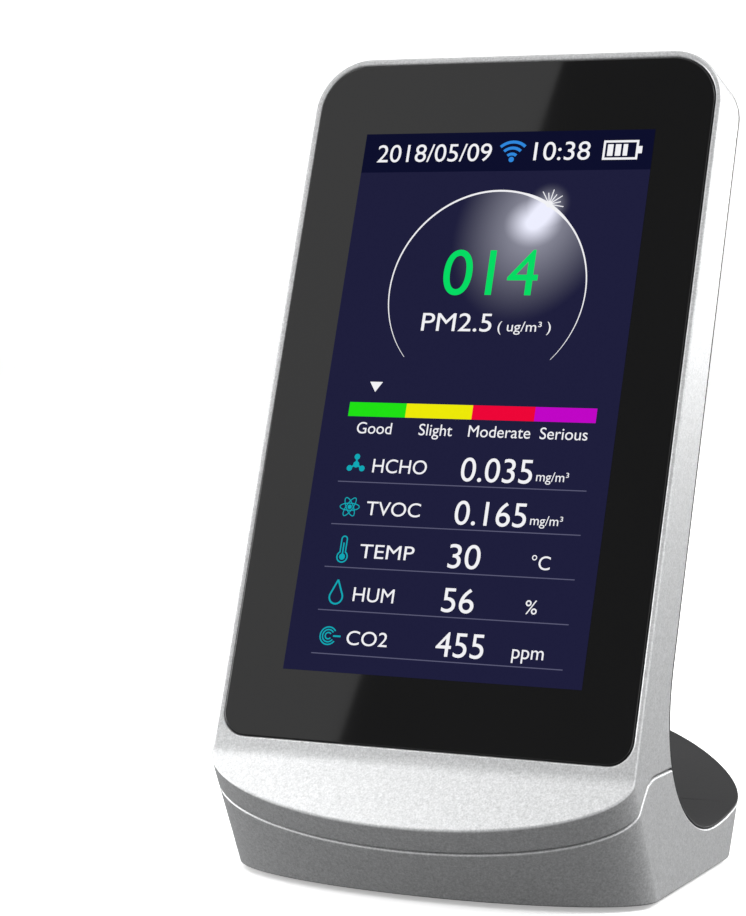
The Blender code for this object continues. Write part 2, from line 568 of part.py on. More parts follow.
# Gas and climate sensors in the base
co2_x, co2_y = (CASE_X[1] + 2.5, CASE_X[1] + 20.5), (CASE_Y[0] + 1.0, CASE_Y[1] - 0.4)
co2 = box("co2_sensor", co2_x, co2_y, (CASE_Z[0], -3.5), BODY, "white_plastic")
bevel(co2, 0.6, 2)
sensor_board = box("sensor_board", (-26, 26), (43, 56), (SENSOR_BOARD_Z, board_top), BODY, "green_board")
join(sensor_board, box("board_tab", (-6, 6), (55, 61.5), (SENSOR_BOARD_Z, board_top)))
seated = board_top + 0.05
rod("formaldehyde_sensor", 4.8, (-20, 51.4, seated), (-20, 51.4, board_top + 2.0), BODY, "white_plastic")
box("voc_sensor", (13, 17), (50, 54), (seated, board_top + 1.5), BODY, "tray_steel")
box("climate_sensor", (21, 24), (51, 54), (seated, board_top + 1.0), BODY, "black_plastic")
socket_outline = []
corner_z = SOCKET_HALF_HEIGHT - SOCKET_R
for side_x, side_z, start in ((1, -1, -90), (1, 1, 0), (-1, 1, 90), (-1, -1, 180)):
    for i in range(5):
        angle = math.radians(start + 22.5 * i)
        x = side_x * SOCKET_HALF + SOCKET_R * math.cos(angle)
        socket_outline.append((x, socket_z + side_z * corner_z + SOCKET_R * math.sin(angle)))
usb = sweep("usb_socket", [(x, 56.5, z) for x, z in socket_outline], (0, 9.0, 0), slot="tray_steel")
shrunk = [(x * 0.9, 57.5, socket_z + (z - socket_z) * 0.8) for x, z in socket_outline]
cut(usb, sweep("usb_cavity", shrunk, (0, 30, 0)))
join(usb, box("usb_tongue", (-3.1, 3.1), (57.0, 64.5), (socket_z - 0.3, socket_z + 0.3)))
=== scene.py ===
"""Looks of the desktop air quality monitor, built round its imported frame.

Body pieces are drawn in millimetres from the middle of the glass's lower edge, and head pieces
upright (x across, y back from the glass, z up the glass) before they are leaned back.
"""

import json
import math

import bmesh
import bpy
from mathutils import Matrix, Vector

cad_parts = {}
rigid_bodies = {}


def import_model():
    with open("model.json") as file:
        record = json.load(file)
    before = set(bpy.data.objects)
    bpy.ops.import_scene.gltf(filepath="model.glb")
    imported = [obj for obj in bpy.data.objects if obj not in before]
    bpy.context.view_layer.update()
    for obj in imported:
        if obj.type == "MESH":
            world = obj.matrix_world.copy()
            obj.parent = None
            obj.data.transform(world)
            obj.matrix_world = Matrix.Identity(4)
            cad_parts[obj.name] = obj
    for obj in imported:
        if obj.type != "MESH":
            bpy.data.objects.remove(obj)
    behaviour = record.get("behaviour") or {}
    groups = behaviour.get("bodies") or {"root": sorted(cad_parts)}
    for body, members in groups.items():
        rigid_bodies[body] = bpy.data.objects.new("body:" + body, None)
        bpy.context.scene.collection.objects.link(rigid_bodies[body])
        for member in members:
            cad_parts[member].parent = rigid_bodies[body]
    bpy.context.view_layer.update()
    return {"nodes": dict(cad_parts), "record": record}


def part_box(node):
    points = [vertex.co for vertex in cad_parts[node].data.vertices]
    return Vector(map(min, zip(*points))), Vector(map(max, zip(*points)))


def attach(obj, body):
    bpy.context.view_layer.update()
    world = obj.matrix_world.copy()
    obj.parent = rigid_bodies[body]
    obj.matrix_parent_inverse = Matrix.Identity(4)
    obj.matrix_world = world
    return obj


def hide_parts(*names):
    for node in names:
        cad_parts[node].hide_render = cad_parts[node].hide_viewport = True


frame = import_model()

MM = 0.001
LEAN = 20.0
GLASS_THICK = 1.1
glass_low, glass_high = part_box("front_glass")
shell_low, shell_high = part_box("front_frame")
WIDTH = (shell_high.x - shell_low.x) / MM
GLASS_WIDTH = (glass_high.x - glass_low.x) / MM
GLASS_Y = glass_low.y / MM
GLASS_Z = glass_low.z / MM + GLASS_THICK * math.sin(math.radians(LEAN))
GLASS_HEIGHT = (glass_high.z - glass_low.z) / MM / math.cos(math.radians(LEAN))
GLASS_HEIGHT -= GLASS_THICK * math.tan(math.radians(LEAN))
HEAD_LENGTH = GLASS_HEIGHT + 1.3
BASE_DROP = GLASS_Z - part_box("base_housing")[0].z / MM

# Shell form
UNDERCUT = 0.525
FRONT_BULGE, REAR_BULGE = 13.3, 18.3
FRONT_SIDE_Y, BASE_DEPTH = -1.94, 57.4
HEAD_CORNER, HEAD_THICK_TOP = 9.6, 10.0
GLASS_TOP_R, GLASS_LOW_R = 8.3, 4.2
CHIN_RADIUS, CHIN_SLOPE = 6.0, 44.2
SCOOP_Y, SCOOP_Z, SCOOP_RISE = 38.5, -16.6, 0.0098
WALL, COVER, LIP, PARTING_GAP = 1.8, 1.5, 0.45, 0.26
COVER_FIT = 0.3
EDGE = 0.4  # rounding of the shell's edges

# Seat, window and ledge for the glass
GLASS_FIT, SEAT_DEPTH = 0.1, 1.45
LEDGE, LEDGE_BACK = 2.5, 2.6
WINDOW_LOW, WINDOW_HIGH, WINDOW_R = 6.0, HEAD_LENGTH - 9.2, 1.5

# Openings in the base and the back
MOUTH_HALF, MOUTH_RISE, MOUTH_R = 4.9, 2.0, 1.9
KEY_BORE_R, SCREW_BORE_R, SCREW_SINK_R, SCREW_SINK = 3.45, 1.15, 2.15, 9.5
VENT_ROWS, VENT_LOW, VENT_PITCH, VENT_HALF, VENT_SLIT = 5, 40, 4, 16.0, 1.6
TAIL_VENT_ROWS, TAIL_VENT_Y, TAIL_VENT_PITCH, TAIL_VENT_HALF, TAIL_VENT_SLIT = 3, 47, 3.4, 12, 1.4

# Keys, screws and screen
KEYS, SIDES = ("menu", "power", "set"), ("left", "right")
KEY_R, KEY_DEEP, KEY_ROUND = 3.17, 4.25, 0.28
FLANGE_R, FLANGE_THICK = 4.15, 0.66
COVER_SCREW_R, COVER_SCREW_HEIGHT, COVER_SCREW_SEAT = 1.82, 0.65, 9.6
PLATE_SCREW_R, PLATE_SCREW_HEIGHT = 1.88, 0.7
RECESS_LIFT = 0.62  # of a screw head's height, from its middle to the middle of its recess
SCREEN_WIDTH, SCREEN_HEIGHT, SCREEN_PITCH, SCREEN_BAR = 34.0, 19.0, 0.7, 0.16
SCREEN_PLACE = (0, 9.05, 48.9)

# Display layout, across and up the glass
PICTURE_HALF, PICTURE_LOW, PICTURE_HIGH = 26.8, 11.7, 107.7
STATUS_LOW, STATUS_BASE = 100.5, 102.4
RING_X, RING_UP, RING_R = 0.2, 78.9, 18.0
STAR = (9.5, 94.4)
BAR_LEFT, BAR_RIGHT, BAR_LOW, BAR_HIGH = -22.0, 23.1, 56.1, 58.6
ROW_TOP, ROW_PITCH = 47.6, 7.45
ICON_X, LABEL_X, READING_X, UNIT_X = -19.05, -15.9, 0.4, 14.0
CELL_RIPPLE = 0.06  # how far a lit ink dims between the cells of the picture
INK_PROUD = 0.03  # ink stands this far off the picture, which stands as far off the glass
CAP_HEIGHT = 0.69  # of the built-in face at size 1

BODY = Matrix.Translation(Vector((0, GLASS_Y, GLASS_Z)) * MM)
HEAD = BODY @ Matrix.Rotation(math.radians(-LEAN), 4, "X")


# ---------------------------------------------------------------- shader maths
class Value:
    """One shader output. Arithmetic on it adds Math nodes."""

    def __init__(self, finish, socket):
        self.finish, self.socket = finish, socket

    def _maths(self, operation, *terms):
        return self.finish.add("ShaderNodeMath", {"operation": operation}, dict(enumerate(terms)))

    def __add__(self, other):
        return self._maths("ADD", self, other)

    def __sub__(self, other):
        return self._maths("SUBTRACT", self, other)

    def __rsub__(self, other):
        return self._maths("SUBTRACT", other, self)

    def __mul__(self, other):
        return self._maths("MULTIPLY", self, other)

    def __truediv__(self, other):
        return self._maths("DIVIDE", self, other)

    def __rtruediv__(self, other):
        return self._maths("DIVIDE", other, self)

    def __pow__(self, other):
        return self._maths("POWER", self, other)

    def __gt__(self, other):
        return self._maths("GREATER_THAN", self, other)

    def __lt__(self, other):
        return self._maths("LESS_THAN", self, other)

    __radd__ = __add__
    __rmul__ = __mul__

    def at_least(self, other):
        return self._maths("MAXIMUM", self, other)

    def at_most(self, other):
        return self._maths("MINIMUM", self, other)


class Finish:
    """A material whose Principled shader is fed by procedural nodes, all on object coordinates."""

    def __init__(self, name, colour, roughness, metallic=0.0, **fixed):
        self.material = bpy.data.materials.new(name)
        self.material.use_nodes = True
        self.tree = self.material.node_tree
        self.shader = self.tree.nodes["Principled BSDF"]
        self.set("Base Color", (*colour, 1.0))
        self.set("Roughness", roughness)
        self.set("Metallic", metallic)
        for label, value in fixed.items():
            self.set(label.replace("_", " "), value)
        self.place = self.add("ShaderNodeTexCoord", out="Object")

    def add(self, kind, settings=None, inputs=None, out=0):
        node = self.tree.nodes.new(kind)
        for name, value in (settings or {}).items():
            setattr(node, name, value)
        for key, value in (inputs or {}).items():
            self._feed(node.inputs[key], value)
        return Value(self, node.outputs[out])

    def _feed(self, socket, value):
        if isinstance(value, Value):
            self.tree.links.new(value.socket, socket)
        else:
            socket.default_value = value

    def set(self, label, value):
        self._feed(self.shader.inputs[label], value)

    def axis(self, name):
        return self.add("ShaderNodeSeparateXYZ", inputs={0: self.place}, out=name)

    def noise(self, scale, detail=2.0, roughness=0.5, stretch=None):
        spot = self.place
        if stretch:
            spot = self.add("ShaderNodeMapping", inputs={"Vector": spot, "Scale": stretch})
        sockets = {"Vector": spot, "Scale": scale, "Detail": detail, "Roughness": roughness}
        return self.add("ShaderNodeTexNoise", inputs=sockets, out=0)

    def blend(self, mask, first, second):
        settings = {"data_type": "RGBA", "clamp_factor": True}
        tint = [(*c, 1.0) if isinstance(c, tuple) else c for c in (first, second)]
        return self.add("ShaderNodeMix", settings, {0: mask, 6: tint[0], 7: tint[1]}, out=2)

    def bump(self, height, distance, strength=1.0):
        sockets = {"Height": height, "Distance": distance, "Strength": strength}
        self.set("Normal", self.add("ShaderNodeBump", inputs=sockets))


def moulded(name, colour, roughness, grain=2600.0, depth=0.00002, **fixed):
    """Moulded plastic or rubber with a fine spark-eroded grain and slow shade drift."""
    finish = Finish(name, colour, roughness, **fixed)
    fine, slow = finish.noise(grain, 3.0), finish.noise(55.0, 2.0)
    light = tuple(c * 1.25 + 0.002 for c in colour)
    dark = tuple(c * 0.8 for c in colour)
    finish.set("Base Color", finish.blend(fine * 0.5 + slow * 0.5, dark, light))
    finish.set("Roughness", roughness - 0.08 + fine * 0.16)
    finish.bump(fine, depth)
    return finish.material


def metal(name, colour, roughness, stretch, **fixed):
    """Bare metal with drawn or turned lines along one direction."""
    finish = Finish(name, colour, roughness, 1.0, **fixed)
    lines, cloud = finish.noise(900.0, 2.0, stretch=stretch), finish.noise(140.0, 3.0)
    finish.set("Base Color", finish.blend(cloud, tuple(c * 0.82 for c in colour), colour))
    finish.set("Roughness", roughness - 0.1 + lines * 0.14 + cloud * 0.06)
    finish.bump(lines, 0.00001)
    return finish.material


def silver_paint():
    """Metallic silver paint: bright flakes in a grey coat over a faint orange peel."""
    finish = Finish("silver_paint", (0.5, 0.5, 0.51), 0.4, 0.45, Coat_Weight=0.12, Coat_Roughness=0.3)
    flake, grain, peel = finish.noise(3400.0, 1.0), finish.noise(1500.0, 3.0, 0.7), finish.noise(420.0)
    sparkle = (flake - 0.5) * 1.3 + (grain - 0.5) * 1.1 + 0.5
    finish.set("Base Color", finish.blend(sparkle, (0.38, 0.385, 0.39), (0.66, 0.665, 0.67)))
    finish.set("Roughness", 0.36 + flake * 0.16)
    finish.bump(peel * 0.6 + grain * 0.4, 0.000025)
    return finish.material


def cover_glass():
    """Black-backed cover glass with the faintest smears."""
    finish = Finish("cover_glass", (0.0045, 0.0045, 0.005), 0.03, Specular_IOR_Level=0.5)
    smear = finish.noise(38.0, 4.0, 0.6)
    finish.set("Roughness", 0.015 + smear * 0.03)
    finish.set("Base Color", finish.blend(smear, (0.0012, 0.0012, 0.0014), (0.003, 0.003, 0.0033)))
    return finish.material


def lit(name, colour):
    """Lit display ink: gives light, with the faint grid of the picture's cells."""
    finish = Finish(name, (0.0, 0.0, 0.0), 0.6, Specular_IOR_Level=0.0)
    cells = finish.noise(2600.0, 1.0)
    dim = tuple(c * (1 - CELL_RIPPLE) for c in colour)
    finish.set("Emission Color", finish.blend(cells, dim, colour))
    finish.set("Emission Strength", 1.0)
    return finish.material


def display_picture():
    """Navy picture with a darker status strip along the top and a glow inside the ring."""
    finish = Finish("display_picture", (0.0, 0.0, 0.0), 0.6, Specular_IOR_Level=0.0)
    lean = math.radians(LEAN)
    height, depth = finish.axis("Z") - GLASS_Z * MM, finish.axis("Y") - GLASS_Y * MM
    up = (height * math.cos(lean) + depth * math.sin(lean)) / MM
    across = finish.axis("X") / MM
    cells = finish.noise(2600.0, 1.0)
    navy = finish.blend(cells, (0.0125, 0.0125, 0.044), (0.0145, 0.0145, 0.049))
    base = finish.blend(up > STATUS_LOW, navy, (0.0042, 0.005, 0.026))
    star_x, star_up = STAR
    beside, below = across - star_x, star_up - up
    wide_x, wide_up = (beside + 1.6 + below * 0.12) / 1.15, (below - 3.2) / 1.4
    wide = (1 - (wide_x * wide_x + wide_up * wide_up) ** 0.5 / 13.0).at_least(0.0)
    spot_x, spot_up = (beside + 2.4) / 1.2, below - 3.3
    spot = (1 - (spot_x * spot_x + spot_up * spot_up) ** 0.5 / 4.6).at_least(0.0)
    near = (1 - (beside * beside + below * below) ** 0.5 / 4.2).at_least(0.0)
    inside = ((across - RING_X) ** 2 + (up - RING_UP) ** 2) ** 0.5 < RING_R
    mask = (wide ** 1.4 * 0.42 + spot ** 1.3 * 0.9 + near * 0.5) * inside + near ** 2.0 * 0.5
    mask = mask.at_most(1.0)
    finish.set("Emission Color", finish.blend(mask, base, (0.85, 0.86, 1.0)))
    finish.set("Emission Strength", 1.0)
    return finish.material


finishes = {
    "silver_paint": silver_paint(),
    "dark_shell": moulded("dark_shell", (0.02, 0.02, 0.021), 0.6, 2200.0),
    "cover_glass": cover_glass(),
    "black_foam": moulded("black_foam", (0.015, 0.015, 0.015), 0.9, 1200.0, 0.0001),
    "display": display_picture(),
    "tray_steel": metal("tray_steel", (0.6, 0.61, 0.62), 0.34, (1.0, 0.08, 1.0)),
    "green_board": moulded("green_board", (0.015, 0.13, 0.055), 0.4, 1400.0, Coat_Weight=0.3),
    "amber_film": moulded("amber_film", (0.5, 0.2, 0.03), 0.3, 900.0),
    "foil_pouch": metal("foil_pouch", (0.66, 0.67, 0.69), 0.4, (1.0, 1.0, 1.0)),
    "screw_steel": metal("screw_steel", (0.5, 0.5, 0.52), 0.28, (1.0, 1.0, 0.1)),
    "foot_rubber": moulded("foot_rubber", (0.02, 0.02, 0.02), 0.85, 1800.0, 0.00004),
    "black_plastic": moulded("black_plastic", (0.03, 0.03, 0.033), 0.5),
    "white_plastic": moulded("white_plastic", (0.72, 0.72, 0.7), 0.45),
    "brass_barrel": metal("brass_barrel", (0.72, 0.5, 0.2), 0.3, (1.0, 1.0, 0.1)),
}
inks = {
    "white": lit("white_ink", (0.92, 0.92, 0.95)),
    "line": lit("line_ink", (0.11, 0.11, 0.19)),
    "teal": lit("teal_ink", (0.006, 0.40, 0.48)),
    "blue": lit("blue_ink", (0.03, 0.25, 0.75)),
    "reading": lit("reading_ink", (0.002, 0.73, 0.13)),
    "good": lit("good_ink", (0.015, 0.77, 0.008)),
    "slight": lit("slight_ink", (0.87, 0.84, 0.003)),
    "moderate": lit("moderate_ink", (0.87, 0.002, 0.04)),
    "serious": lit("serious_ink", (0.54, 0.002, 0.58)),
}


# ---------------------------------------------------------------- mesh helpers
def to_object(name, bm, matrix=Matrix()):
    """Plain object at the origin from a millimetre mesh placed by a matrix."""
    bm.transform(Matrix.Scale(MM, 4))
    bm.transform(matrix)
    mesh = bpy.data.meshes.new(name)
    bm.to_mesh(mesh)
    bm.free()
    obj = bpy.data.objects.new(name, mesh)
    bpy.context.scene.collection.objects.link(obj)
    return obj


def sweep(name, outline, along, matrix=BODY):
    """Closed solid of a flat outline moved along a vector."""
    bm = bmesh.new()
    face = bm.faces.new([bm.verts.new(point) for point in outline])
    raised = bmesh.ops.extrude_face_region(bm, geom=[face])["geom"]
    moved = [item for item in raised if isinstance(item, bmesh.types.BMVert)]
    bmesh.ops.translate(bm, vec=Vector(along), verts=moved)
    bmesh.ops.recalc_face_normals(bm, faces=bm.faces)
    return to_object(name, bm, matrix)


def block(name, x, y, z):
    """Box between the pairs of limits x, y and z."""
    bm = bmesh.new()
    size = Matrix.Diagonal((x[1] - x[0], y[1] - y[0], z[1] - z[0], 1))
    middle = Vector((x[0] + x[1], y[0] + y[1], z[0] + z[1])) / 2
    bmesh.ops.create_cube(bm, size=1, matrix=Matrix.Translation(middle) @ size)
    return to_object(name, bm, BODY)


def turned(name, profile, centre, matrix=HEAD, steps=64):
    """Solid of revolution about the y direction from (radius, y) points, first and last on the axis."""
    bm = bmesh.new()
    x, z = centre
    points = [bm.verts.new((x + radius, y, z)) for radius, y in profile]
    edges = [bm.edges.new(pair) for pair in zip(points, points[1:])]
    bmesh.ops.spin(
        bm, geom=points + edges, cent=(x, 0, z), axis=(0, 1, 0), angle=2 * math.pi, steps=steps,
        use_duplicate=False,
    )
    bmesh.ops.remove_doubles(bm, verts=bm.verts, dist=0.002)
    bmesh.ops.recalc_face_normals(bm, faces=bm.faces)
    return to_object(name, bm, matrix)


def settle(obj):
    """Turn an object and its modifiers into a plain mesh."""
    graph = bpy.context.evaluated_depsgraph_get()
    mesh = bpy.data.meshes.new_from_object(obj.evaluated_get(graph))
    obj.modifiers.clear()
    obj.data = mesh
    return obj


def carve(obj, operation, *tools):
    """Run exact Booleans with the tools and remove them."""
    for tool in tools:
        step = obj.modifiers.new("carve", "BOOLEAN")
        step.operation, step.solver, step.object = operation, "EXACT", tool
        settle(obj)
        bpy.data.objects.remove(tool, do_unlink=True)
    return obj


def copy_of(obj):
    """Second object with its own copy of the mesh."""
    twin = obj.copy()
    twin.data = obj.data.copy()
    bpy.context.scene.collection.objects.link(twin)
    return twin


def soften(obj, width, segments=3, angle=28.0, tidy=True):
    """Round the sharp edges and shade the rest smooth."""
    bm = bmesh.new()
    bm.from_mesh(obj.data)
    bmesh.ops.remove_doubles(bm, verts=bm.verts, dist=0.003 * MM)
    if tidy:
        bmesh.ops.dissolve_limit(
            bm, angle_limit=math.radians(0.2), verts=bm.verts, edges=bm.edges, use_dissolve_boundaries=False
        )
    bm.to_mesh(obj.data)
    bm.free()
    step = obj.modifiers.new("rounding", "BEVEL")
    step.width, step.segments = width * MM, segments
    step.limit_method, step.angle_limit = "ANGLE", math.radians(angle)
    step.use_clamp_overlap = False
    step.harden_normals = False
    settle(obj)
    return smooth(obj, 40.0)


def smooth(obj, angle):
    """Shade smooth between edges sharper than an angle, with broad faces kept flat."""
    for polygon in obj.data.polygons:
        polygon.use_smooth = True
    bm = bmesh.new()
    bm.from_mesh(obj.data)
    for edge in bm.edges:
        edge.smooth = not (len(edge.link_faces) == 2 and edge.calc_face_angle(0) > math.radians(angle))
    bm.to_mesh(obj.data)
    bm.free()
    step = obj.modifiers.new("weighted", "WEIGHTED_NORMAL")
    step.weight, step.keep_sharp = 100, True
    return settle(obj)


def finish_piece(obj, slot, body="case", nodes=(), material=None):
    """Give a finished piece its material, from its slot unless one is given, put it on its body and hide
    the CAD nodes it stands for.
    """
    obj.data.materials.clear()
    obj.data.materials.append(material or finishes[slot])
    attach(obj, body)
    if nodes:
        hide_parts(*nodes)
    return obj


# ---------------------------------------------------------------- section lines
def face_point(up, back):
    """Body section point (y, z) of a head position."""
    lean = math.radians(LEAN)
    return Vector((
        up * math.sin(lean) + back * math.cos(lean),
        up * math.cos(lean) - back * math.sin(lean),
    ))


def shifted(points, distance):
    """Open line moved to the left of its own direction."""
    moved = []
    for i, point in enumerate(points):
        ahead = points[min(i + 1, len(points) - 1)] - points[max(i - 1, 0)]
        moved.append(point + Vector((-ahead.y, ahead.x)).normalized() * distance)
    return moved


def rear_line(outward=0.0, steps=40):
    """Section of the back, from above the head's top down and out past the tail."""
    handles = [Vector(p) for p in ((17.1, 14.2), (10.3, -4.6), (24.5, SCOOP_Z), (SCOOP_Y, SCOOP_Z))]
    points = [face_point(HEAD_LENGTH + 8, HEAD_THICK_TOP - 0.1), face_point(70, 10.61)]
    for i in range(steps + 1):
        t = i / steps
        weights = ((1 - t) ** 3, 3 * t * (1 - t) ** 2, 3 * t * t * (1 - t), t ** 3)
        points.append(sum((w * h for w, h in zip(weights, handles)), Vector((0, 0))))
    for i in range(1, 25):
        y = SCOOP_Y + 2.0 * i
        points.append(Vector((y, SCOOP_Z + SCOOP_RISE * (y - SCOOP_Y) ** 2)))
    return shifted(points, outward)


def front_line(inward=0.0, back=0.0, steps=14):
    """Section of the front, from above the head's top down the face and out along the chin."""
    start, turn = math.radians(LEAN), math.radians(CHIN_SLOPE)
    centre = face_point(-1.3, 0) + CHIN_RADIUS * Vector((-math.cos(start), math.sin(start)))
    radius = CHIN_RADIUS + inward
    arc = []
    for i in range(steps + 1):
        angle = start + (turn - start) * i / steps
        arc.append(centre + radius * Vector((math.cos(angle), -math.sin(angle))))
    end = arc[-1] + 22 * Vector((-math.sin(turn), -math.cos(turn)))
    if back:
        low = face_point(-1.3 - inward, back)
        arc = [low] + [point for point in arc if point.y < low.y - 0.6]
    return [face_point(HEAD_LENGTH + 8, back)] + arc + [end]


def section(name, front, rear, low, width):
    """Solid between a front and a rear section line, down to a level, across the width."""
    points = front + [Vector((front[-1].x, low)), Vector((rear[-1].x, low))] + rear[::-1]
    return sweep(name, [(-width / 2, p.x, p.y) for p in points], (width, 0, 0))


def band(name, near, far, width):
    """Sheet that follows the rear section between two offsets."""
    points = rear_line(near) + rear_line(far)[::-1]
    return sweep(name, [(-width / 2, p.x, p.y) for p in points], (width, 0, 0))


def plan(name, end, inset, steps=88):
    """Sheared prism with a rounded front or rear wall."""
    half = WIDTH / 2 - inset
    low, high = -40.0, 140.0
    shift = inset * math.hypot(1, UNDERCUT)
    outline = []
    for i in range(steps + 1):
        angle = math.pi * (i / steps - 0.5)
        across, round_off = half * math.sin(angle), math.cos(angle)
        if end == "front":
            y = FRONT_SIDE_Y - FRONT_BULGE * round_off + shift - UNDERCUT * low
        else:
            y = BASE_DEPTH + REAR_BULGE * round_off - shift + UNDERCUT * low
        outline.append((across, y, low))
    far = 260.0 if end == "front" else -260.0
    outline += [(half, far, low), (-half, far, low)]
    slope = -UNDERCUT if end == "front" else UNDERCUT
    return sweep(name, outline, (0, slope * (high - low), high - low))


def rounded(half, low, high, top_r, low_r, steps=20):
    """Rounded rectangle as (x, z) pairs, anticlockwise from the lower right corner."""
    right = ((half, low, low_r, -90), (half, high, top_r, 0))
    left = ((-half, high, top_r, 90), (-half, low, low_r, 180))
    outline = []
    for x, z, radius, start in right + left:
        centre_x = x - math.copysign(radius, x)
        centre_z = z - radius if z == high else z + radius
        for i in range(steps + 1 if radius > 0.05 else 1):
            angle = math.radians(start + 90 * i / steps)
            outline.append((centre_x + radius * math.cos(angle), centre_z + radius * math.sin(angle)))
    return outline


def slab(name, outline, front, back):
    """Head solid of an (x, z) outline between two depths."""
    return sweep(name, [(x, front, z) for x, z in outline], (0, back - front, 0), HEAD)


def head_outline(inset):
    """Long prism with the head's rounded top corners, seen along the glass's normal."""
    half = WIDTH / 2 - inset
    outline = rounded(half, -90, HEAD_LENGTH - inset, HEAD_CORNER - inset, 0.01)
    return slab("head_outline", outline, -70, 190)


def parting(side):
    """Everything above (+1) or below (-1) the line where the front frame meets the base."""
    chin_run = ((-30, -35.55), (-7.3, -15.5), (1.4, -7.8))
    side_run = ((3.9, -5.1), (5.4, -3.75), (7.0, -3.1), (9, -2.9), (30, -3.15))
    line = shifted([Vector(point) for point in chin_run + side_run], side * PARTING_GAP / 2)
    edge = 160 if side > 0 else -60
    outline = [(-60, p.x, p.y) for p in line] + [(-60, 90, line[-1].y), (-60, 90, edge), (-60, -90, edge)]
    outline.append((-60, -90, line[0].y))
    return sweep("parting", outline, (120, 0, 0))


# ---------------------------------------------------------------- shells
def outer_tools(inset=0.0):
    """Solids that trim a body section to the head's outline and the curved front and rear walls."""
    return head_outline(inset), plan("plan_front", "front", inset), plan("plan_rear", "rear", inset)


def silver_walls():
    """Hollow silver body, not yet parted into the front frame and the base."""
    hollow = section("hollow", front_line(WALL, LEDGE_BACK), rear_line(8), -40, WIDTH + 4)
    carve(hollow, "INTERSECT", *outer_tools(WALL))
    walls = section("base_shell", front_line(), rear_line(), -BASE_DROP, WIDTH)
    carve(walls, "INTERSECT", *outer_tools())
    return carve(walls, "DIFFERENCE", hollow)


def front_shell(walls):
    """Front frame: chin, sides, glass seat and display window."""
    shell = copy_of(walls)
    shell.name = "front_shell"
    carve(shell, "INTERSECT", parting(1))
    half, top = GLASS_WIDTH / 2 + GLASS_FIT, GLASS_HEIGHT + GLASS_FIT
    seat = rounded(half, -GLASS_FIT, top, GLASS_TOP_R, GLASS_LOW_R)
    window = rounded(GLASS_WIDTH / 2 - LEDGE, WINDOW_LOW, WINDOW_HIGH, WINDOW_R, WINDOW_R, 6)
    carve(shell, "DIFFERENCE", slab("seat", seat, -5, SEAT_DEPTH), slab("window", window, -5, 20))
    soften(shell, EDGE)
    finish_piece(shell, "silver_paint", nodes=["front_frame"])


def base_shell(walls):
    """Lower walls, with a rounded mouth round the socket."""
    carve(walls, "INTERSECT", parting(-1))
    low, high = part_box("usb_socket")
    middle = (low.z + high.z) / 2 / MM - GLASS_Z
    mouth = rounded(MOUTH_HALF, middle - MOUTH_RISE, middle + MOUTH_RISE, MOUTH_R, MOUTH_R, 8)
    carve(walls, "DIFFERENCE", sweep("mouth", [(x, 58, z) for x, z in mouth], (0, 20, 0)))
    soften(walls, EDGE * 0.8)
    finish_piece(walls, "silver_paint", nodes=["base_housing"])


def head_spot(node):
    """Middle of a CAD node in the upright head, in millimetres."""
    low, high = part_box(node)
    return HEAD.inverted() @ ((low + high) / 2) / MM


def bore(radius, spot, front=5.0, back=14.0, steps=48):
    """Round cutter through the back of the head at a spot."""
    profile = [(0, front), (radius, front), (radius, back), (0, back)]
    return turned("bore", profile, (spot.x, spot.z), steps=steps)


def back_shell():
    """Dark back cover and tail, with bores for the keys and screws and slits for air."""
    shell = band("back_shell", 0.08, LIP, WIDTH - 0.1)
    carve(shell, "INTERSECT", *outer_tools())
    inner_sheet = band("inner_sheet", -COVER, 0.2, WIDTH)
    carve(inner_sheet, "INTERSECT", *outer_tools(WALL + COVER_FIT))
    carve(shell, "UNION", inner_sheet)
    for name in KEYS:
        carve(shell, "DIFFERENCE", bore(KEY_BORE_R, head_spot(f"{name}_button")))
    for side in SIDES:
        spot = head_spot(f"cover_screw_{side}")
        hole = bore(SCREW_BORE_R, spot, steps=32)
        carve(shell, "DIFFERENCE", hole, bore(SCREW_SINK_R, spot, SCREW_SINK, steps=32))
    for row in range(VENT_ROWS):
        up = VENT_LOW + row * VENT_PITCH
        slit = rounded(VENT_HALF, up, up + VENT_SLIT, VENT_SLIT / 2 - 0.01, VENT_SLIT / 2 - 0.01, 6)
        carve(shell, "DIFFERENCE", slab("slit", slit, 5, 16))
    for row in range(TAIL_VENT_ROWS):
        y = TAIL_VENT_Y + row * TAIL_VENT_PITCH
        slit = block("slit", (-TAIL_VENT_HALF, TAIL_VENT_HALF), (y, y + TAIL_VENT_SLIT), (-22, -8))
        carve(shell, "DIFFERENCE", slit)
    soften(shell, 0.18, 2)
    finish_piece(shell, "dark_shell", nodes=["back_cover"])


silver = silver_walls()
front_shell(silver)
base_shell(silver)
back_shell()


# ---------------------------------------------------------------- cover glass and display
def glass_plate():
    """Cover glass with a polished edge."""
    outline = rounded(GLASS_WIDTH / 2, 0, GLASS_HEIGHT, GLASS_TOP_R, GLASS_LOW_R, 28)
    plate = slab("cover_glass", outline, 0, GLASS_THICK)
    soften(plate, 0.18, 3)
    finish_piece(plate, "cover_glass", nodes=["front_glass"])


glass_plate()

ink_meshes = {}


def draw(ink, outline, level=2):
    """Add a flat outline of (x, up) points in an ink."""
    bm = ink_meshes.setdefault(ink, bmesh.new())
    bm.faces.new([bm.verts.new((x, -INK_PROUD * level, z)) for x, z in outline])


def bar(ink, left, right, low, high, level=2):
    """Upright rectangle in an ink."""
    draw(ink, ((left, low), (right, low), (right, high), (left, high)), level)


